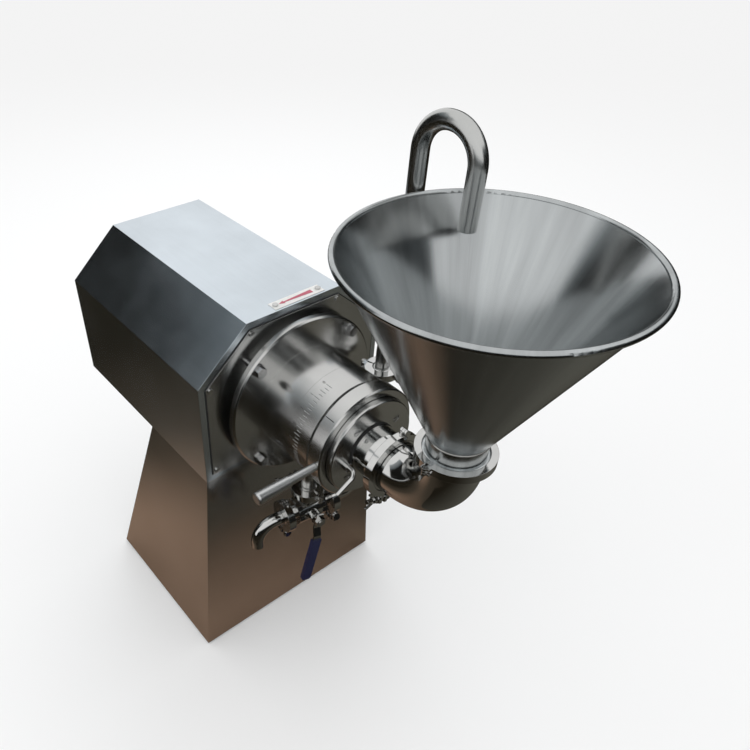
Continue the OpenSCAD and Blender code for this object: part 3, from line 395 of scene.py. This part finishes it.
def neck_weld():
    """A welded seam round the hopper's neck, with the ripples of its passes."""
    vertices, faces = [], []
    for i in range(WELD_STEPS):
        a = 2 * math.pi * i / WELD_STEPS
        r = WELD_T * (1.0 + RIPPLE_SHARE * math.sin(RIPPLES * a))
        for k in range(WELD_SIDES):
            b = 2 * math.pi * k / WELD_SIDES
            out = WELD_R + r * math.cos(b)
            vertices.append((HOPPER_X + out * math.cos(a), out * math.sin(a), WELD_Z + r * math.sin(b)))
            here, ahead = i * WELD_SIDES, (i + 1) % WELD_STEPS * WELD_SIDES
            n = (k + 1) % WELD_SIDES
            faces.append((here + k, ahead + k, ahead + n, here + n))
    piece("neck_weld", vertices, faces, WELD_STEEL, "feed_carriage", "hopper_steel", True)


# Front plate's left edge from its foot to the top, across and up; the right edge mirrors it
PLATE_LEFT = [(-0.186, 0.503), (-0.186, 0.69367), (-0.09472, 0.774)]
PLATE = PLATE_LEFT + [(-y, z) for y, z in reversed(PLATE_LEFT)]
# Painted shade at the front plate's seam: the dark strip's width and its span along x
SEAM_SHADE_W = 0.0016
SEAM_SHADE_X = (0.1898, 0.1914)


def plate_seam_shade():
    """Painted shade: a dark strip in the corner round the front plate's edge, standing in for the shadow
    gap at the seam.
    """
    parts = []
    for start, end in zip(PLATE, PLATE[1:]):
        along = (Vector(end) - Vector(start)).normalized()
        out = Vector((-along.y, along.x)) * SEAM_SHADE_W
        loop = [Vector(start), Vector(end), Vector(end) + out, Vector(start) + out]
        vertices = [(x, *p) for x in SEAM_SHADE_X for p in loop]
        faces = [(0, 1, 2, 3), (7, 6, 5, 4), (0, 4, 5, 1), (1, 5, 6, 2), (2, 6, 7, 3), (3, 7, 4, 0)]
        parts.append((vertices, faces))
    # The dark strip is painted shade in the seam's corner, given the black rubber material
    piece("plate_seam_shade", *join(parts), MATERIALS["rubber_black"], "frame", "rubber_black")


scale_marks()
ring_mark()
plate_seam_shade()
neck_weld()


# Floor, light and reflection cards
def matt(name, stops, along, centre=(0.0, 0.0, 0.0)):
    """A matt stage surface, with its colour graded by distance from a point or by height."""
    made = Shader(name)
    made.set(Roughness=1.0, Specular_IOR_Level=0.0)
    coordinates = made.node("TexCoord").outputs["Object"]
    if along == "reach":
        measure = made.node("VectorMath", operation="DISTANCE")
        measure.inputs[1].default_value = centre
        made.link(coordinates, measure.inputs[0])
        value = measure.outputs["Value"]
    else:
        measure = made.node("SeparateXYZ")
        made.link(coordinates, measure.inputs[0])
        value = measure.outputs["Z"]
    reach = stops[-1][0]
    share = made.ramp(value, 0.0, 1.0, 0.0, reach)
    graded = [(place / reach, colour) for place, colour in stops]
    made.link(made.colours(share, graded), made.surface.inputs["Base Color"])
    return made.material


def flat(name, corners, material):
    mesh = bpy.data.meshes.new(name)
    mesh.from_pydata(corners, [], [tuple(range(len(corners)))])
    made = bpy.data.objects.new(name, mesh)
    scene.collection.objects.link(made)
    made.data.materials.append(material)
    return made


def level(low, high, z):
    """Corners of a level sheet between two places."""
    return [(low[0], low[1], z), (high[0], low[1], z), (high[0], high[1], z), (low[0], high[1], z)]


def dark_card(name, corners, stops, along, centre=(0.0, 0.0, 0.0)):
    """A card beside the object that shows in its steel and nowhere else."""
    made = flat(name, corners, matt(name, stops, along, centre))
    made.visible_camera = False
    made.visible_diffuse = False
    made.visible_shadow = False


def wall(start, end, height):
    """Corners of an upright card between two places on the floor."""
    return [(*start, 0.0), (*end, 0.0), (*end, height), (*start, height)]


def softbox(name, place, aim, size, power, tint=(1.0, 1.0, 1.0)):
    data = bpy.data.lights.new(name, "AREA")
    data.shape = "RECTANGLE"
    data.size, data.size_y = size
    data.energy = power
    data.color = tint
    lamp = bpy.data.objects.new(name, data)
    scene.collection.objects.link(lamp)
    look = (Vector(aim) - Vector(place)).to_track_quat("-Z", "Y")
    lamp.matrix_world = Matrix.Translation(Vector(place)) @ look.to_matrix().to_4x4()
    lamp.visible_glossy = False


def add_world():
    world = bpy.data.worlds.new("studio")
    scene.world = world
    world.use_nodes = True
    back = world.node_tree.nodes["Background"]
    back.inputs["Color"].default_value = (1.0, 1.0, 1.0, 1.0)
    back.inputs["Strength"].default_value = 1.0


# Sizes in metres: half of the floor, half of the card on it, and how high the two level cards lie
FLOOR = 30.0
FLOOR_CARD = 6.0
CARD_Z, PATCH_Z = 0.004, 0.006
WHITE = (0.90, 0.90, 0.90)
WARM_NEAR = (0.30, 0.20, 0.14)
WARM_MID = (0.065, 0.052, 0.038)
WARM_FAR = (0.018, 0.015, 0.010)
PALE_PATCH = (0.13, 0.125, 0.105)
SHADE_LOW = (0.012, 0.012, 0.011)
SHADE_MID = (0.17, 0.19, 0.20)
SHADE_HIGH = (0.42, 0.45, 0.46)

# Colours by distance on the level sheets, and by height on the upright cards up to their tops
FLOOR_STOPS = [(0.3, WARM_NEAR), (0.55, WARM_MID), (1.0, WARM_FAR), (8.5, WARM_FAR)]
PATCH_STOPS = [(0.0, PALE_PATCH), (1.3, WARM_FAR), (2.6, WARM_FAR)]
LEFT_TOP, CAMERA_TOP, SIDE_TOP = 4.2, 1.3, 2.6
LEFT_STOPS = [(0.0, SHADE_LOW), (2.4, SHADE_LOW), (2.9, SHADE_MID), (LEFT_TOP, SHADE_HIGH)]
CAMERA_STOPS = [(0.0, SHADE_LOW), (0.9, SHADE_LOW), (CAMERA_TOP, SHADE_HIGH)]
SIDE_STOPS = [(0.0, SHADE_LOW), (1.7, SHADE_LOW), (SIDE_TOP, SHADE_MID)]
# Corners where upright cards meet
FRONT_RIGHT = (3.2, 0.4)
BACK_RIGHT = (2.6, 3.2)

WHITE_STOPS = [(0.0, WHITE), (FLOOR, WHITE)]
flat("floor", level((-FLOOR, -FLOOR), (FLOOR, FLOOR), 0.0), matt("floor", WHITE_STOPS, "reach"))
dark_card("floor_card", level((-FLOOR_CARD, -FLOOR_CARD), (FLOOR_CARD, FLOOR_CARD), CARD_Z), FLOOR_STOPS,
          "reach", (-0.06, -0.1, 0.0))
dark_card("right_floor_card", level((0.45, -0.6), (3.0, 2.4), PATCH_Z), PATCH_STOPS,
          "reach", (1.0, 0.75, 0.0))
dark_card("left_card", wall((-2.6, -4.4), (-2.6, -0.3), LEFT_TOP), LEFT_STOPS, "height")
dark_card("camera_card", wall((0.2, -3.4), FRONT_RIGHT, CAMERA_TOP), CAMERA_STOPS, "height")
dark_card("right_card", wall(FRONT_RIGHT, BACK_RIGHT, SIDE_TOP), SIDE_STOPS, "height")
dark_card("back_card", wall(BACK_RIGHT, (-2.6, 3.2), SIDE_TOP), SIDE_STOPS, "height")
softbox("back_softbox", place=(-1.6, 1.3, 2.6), aim=(0.0, 0.0, 0.7), size=(1.8, 1.8), power=12.0,
        tint=(0.9, 0.96, 1.0))
softbox("key_softbox", place=(0.6, -2.0, 2.4), aim=(0.1, 0.0, 0.6), size=(1.2, 1.2), power=8.0)
add_world()
add_camera()
